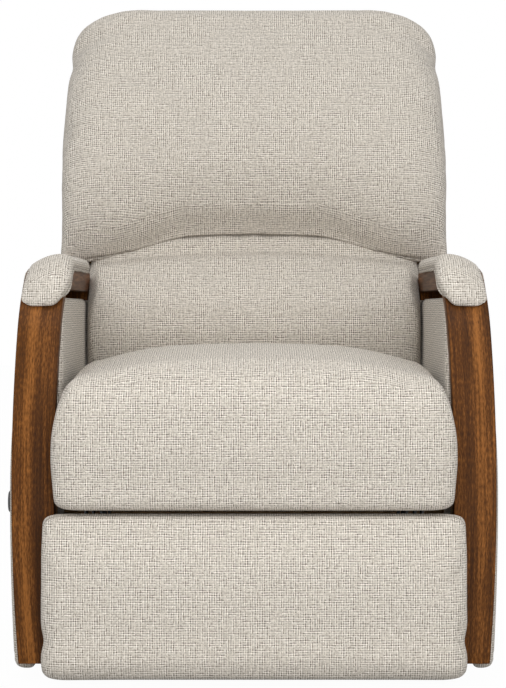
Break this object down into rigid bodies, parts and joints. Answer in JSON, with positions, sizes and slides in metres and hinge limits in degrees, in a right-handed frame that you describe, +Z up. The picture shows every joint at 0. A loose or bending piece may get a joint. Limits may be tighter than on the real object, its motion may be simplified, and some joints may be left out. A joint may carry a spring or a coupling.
{
  "type": "swivel gliding recliner",
  "caption": "Upholstered swivel glider recliner with bent wooden arms, padded arm tops, a pillow back, a waterfall seat and a lever-driven footrest.",
  "frame": {"origin": "on the floor, on the swivel axis at the middle of the base ring", "axes": "+X to the right of someone who faces the chair, the front faces -Y, +Z up"},
  "size_m": [0.7465, 0.904, 1.0701],
  "materials": {
    "linen": "woven linen look, matt",
    "walnut": "walnut veneer, satin lacquer",
    "frame_wood": "plain sawn timber",
    "black_steel": "satin black",
    "plain_steel": "zinc plated",
    "dark_plastic": "fine grain",
    "webbing": "elastic woven strap"
  },
  "bodies": {
    "base": {"base_ring": "black_steel", "base_spokes": "black_steel", "floor_glides": "dark_plastic", "lower_race": "plain_steel", "swivel_balls": "plain_steel", "king_pin": "plain_steel", "king_nut": "plain_steel"},
    "platform": {"upper_race": "plain_steel", "swivel_platform": "black_steel", "glide_brackets": "black_steel", "platform_bolts": "plain_steel", "upper_glide_pins": "plain_steel"},
    "front_glide": {"front_glide_links": "black_steel"},
    "rear_glide": {"rear_glide_links": "black_steel"},
    "chair": {"lower_glide_pins": "plain_steel", "carriage_rails": "black_steel", "cross_tubes": "black_steel", "right_side_frame": "frame_wood", "left_side_frame": "frame_wood", "rear_rail": "frame_wood", "rear_valance": "linen", "right_arm": "walnut", "left_arm": "walnut", "arm_bolts": "plain_steel", "right_arm_pad": "linen", "left_arm_pad": "linen", "right_inner_panel": "linen", "left_inner_panel": "linen", "right_outer_panel": "linen", "left_outer_panel": "linen", "mechanism_plates": "black_steel", "mechanism_cleats": "frame_wood", "mechanism_pins": "plain_steel", "back_pins": "plain_steel", "torque_bushes": "dark_plastic", "lever_bezel": "dark_plastic", "seat_frame": "frame_wood", "seat_springs": "plain_steel", "seat_cushion": "linen"},
    "lever": {"torque_tube": "black_steel", "torque_cranks": "black_steel", "crank_pins": "plain_steel", "lever_handle": "dark_plastic"},
    "drive": {"drive_links": "black_steel"},
    "rear_links": {"rear_links": "black_steel", "rear_link_pins": "plain_steel"},
    "front_links": {"front_links": "black_steel", "front_link_studs": "plain_steel"},
    "upper_control": {"upper_control_links": "black_steel"},
    "lower_control": {"lower_control_links": "black_steel"},
    "footrest": {"footrest_pad": "linen", "footrest_panel": "frame_wood", "footrest_brackets": "black_steel", "footrest_pins": "plain_steel"},
    "back": {"back_frame": "frame_wood", "back_brackets": "black_steel", "back_webbing": "webbing", "lumbar_panel": "linen", "back_pillow": "linen", "outer_back": "linen"}
  },
  "joints": [
    {"name": "swivel", "type": "hinge", "parent": "base", "child": "platform", "pos_m": [0, 0, 0], "axis": [0, 0, 1], "continuous": true},
    {"name": "glide", "type": "hinge", "parent": "platform", "child": "front_glide", "pos_m": [0, -0.11, 0.185], "axis": [1, 0, 0], "range_deg": [-24, 24]},
    {"name": "rear_glide", "type": "hinge", "parent": "platform", "child": "rear_glide", "pos_m": [0, 0.11, 0.185], "axis": [1, 0, 0], "range_deg": [-24, 24]},
    {"name": "chair_level", "type": "hinge", "parent": "front_glide", "child": "chair", "pos_m": [0, -0.11, 0.085], "axis": [1, 0, 0], "range_deg": [-24, 24]},
    {"name": "footrest_extend", "type": "hinge", "parent": "chair", "child": "rear_links", "pos_m": [0, -0.248, 0.295], "axis": [-1, 0, 0], "range_deg": [0, 108.7]},
    {"name": "front_links", "type": "hinge", "parent": "rear_links", "child": "front_links", "pos_m": [0, -0.116, 0.176], "axis": [1, 0, 0], "range_deg": [0, 71.11]},
    {"name": "footrest", "type": "hinge", "parent": "front_links", "child": "footrest", "pos_m": [0, -0.365, 0.174], "axis": [-1, 0, 0], "range_deg": [0, 46.11]},
    {"name": "upper_control", "type": "hinge", "parent": "chair", "child": "upper_control", "pos_m": [0, -0.2095, 0.295], "axis": [-1, 0, 0], "range_deg": [0, 109.88]},
    {"name": "lower_control", "type": "hinge", "parent": "rear_links", "child": "lower_control", "pos_m": [0, -0.1224, 0.2087], "axis": [1, 0, 0], "range_deg": [0, 72.49]},
    {"name": "lever", "type": "hinge", "parent": "chair", "child": "lever", "pos_m": [0, -0.04, 0.25], "axis": [-1, 0, 0], "range_deg": [0, 85.01]},
    {"name": "drive", "type": "hinge", "parent": "lever", "child": "drive", "pos_m": [0, -0.00473, 0.20146], "axis": [1, 0, 0], "range_deg": [0, 85.06]},
    {"name": "recline", "type": "hinge", "parent": "chair", "child": "back", "pos_m": [0, 0.155, 0.4], "axis": [-1, 0, 0], "range_deg": [0, 35]}
  ],
  "couplings": [
    {"joint": "rear_glide", "follows": "glide", "ratio": 1},
    {"joint": "chair_level", "follows": "glide", "ratio": -1},
    {"joint": "front_links", "follows": "footrest_extend", "ratio": 0.65409},
    {"joint": "footrest", "follows": "footrest_extend", "ratio": 0.4241},
    {"joint": "upper_control", "follows": "footrest_extend", "ratio": 1.0108},
    {"joint": "lower_control", "follows": "footrest_extend", "ratio": 0.66679},
    {"joint": "lever", "follows": "footrest_extend", "ratio": 0.78197},
    {"joint": "drive", "follows": "footrest_extend", "ratio": 0.78243}
  ]
}
